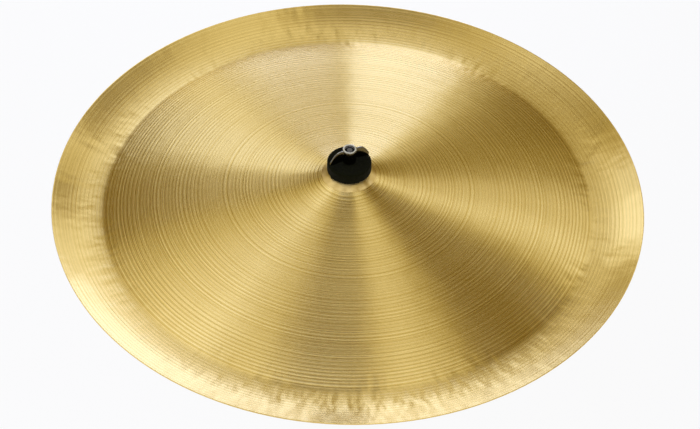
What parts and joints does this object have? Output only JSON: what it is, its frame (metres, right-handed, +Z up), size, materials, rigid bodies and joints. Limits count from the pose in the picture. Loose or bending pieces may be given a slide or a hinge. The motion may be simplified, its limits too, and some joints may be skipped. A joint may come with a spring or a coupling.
{
  "type": "china cymbal",
  "caption": "Cymbal with a small bell, lathed bow and upturned border, held between felts on a tilting rod under a wing nut, over a short stem.",
  "frame": {"origin": "centre of the stem's flat lower end", "axes": "+Z up along the stem, the rod and the cymbal's axis; +X along the tilt axis towards the wing bolt"},
  "size_m": [0.508, 0.508, 0.1856],
  "materials": {
    "bronze": "lathed and brilliant, with fine concentric grooves",
    "felt": "dense black wool felt",
    "nylon": "smooth moulded",
    "nut_chrome": "bright chrome over a die casting",
    "rod_chrome": "bright chrome on turned steel",
    "tube_chrome": "bright chrome on drawn steel",
    "cast_chrome": "chrome over a zinc die casting, a little soft",
    "plain_steel": "zinc plated",
    "fibre": "pressed fibre"
  },
  "bodies": {
    "base": {"stem": "tube_chrome", "tilter_base": "cast_chrome", "stem_pin": "plain_steel", "bolt_nut": "plain_steel", "lock_washer": "plain_steel", "friction_washer_left": "fibre", "friction_washer_right": "fibre"},
    "head": {"tilter_head": "cast_chrome", "rod_pin": "plain_steel", "tilter_rod": "rod_chrome", "sleeve": "nylon", "seat_washer": "plain_steel"},
    "wing_bolt": {"wing_bolt": "cast_chrome"},
    "felts": {"lower_felt": "felt", "upper_felt": "felt"},
    "cymbal": {"cymbal": "bronze"},
    "wing_nut": {"wing_nut": "nut_chrome"}
  },
  "joints": [
    {"name": "tilter_angle", "type": "hinge", "parent": "base", "child": "head", "pos_m": [0, 0, 0.0982], "axis": [1, 0, 0], "range_deg": [-90, 90]},
    {"name": "wing_bolt_turn", "type": "hinge", "parent": "base", "child": "wing_bolt", "pos_m": [0, 0, 0.0982], "axis": [1, 0, 0], "continuous": true},
    {"name": "wing_nut_turn", "type": "hinge", "parent": "head", "child": "wing_nut", "pos_m": [0, 0, 0.172], "axis": [0, 0, 1], "continuous": true},
    {"name": "cymbal_spin", "type": "hinge", "parent": "head", "child": "felts", "pos_m": [0, 0, 0.1609], "axis": [0, 0, 1], "continuous": true},
    {"name": "cymbal_rock", "type": "hinge", "parent": "felts", "child": "cymbal", "pos_m": [0, 0, 0.1609], "axis": [1, 0, 0], "range_deg": [-10, 10], "deforming": ["lower_felt", "upper_felt"]}
  ]
}
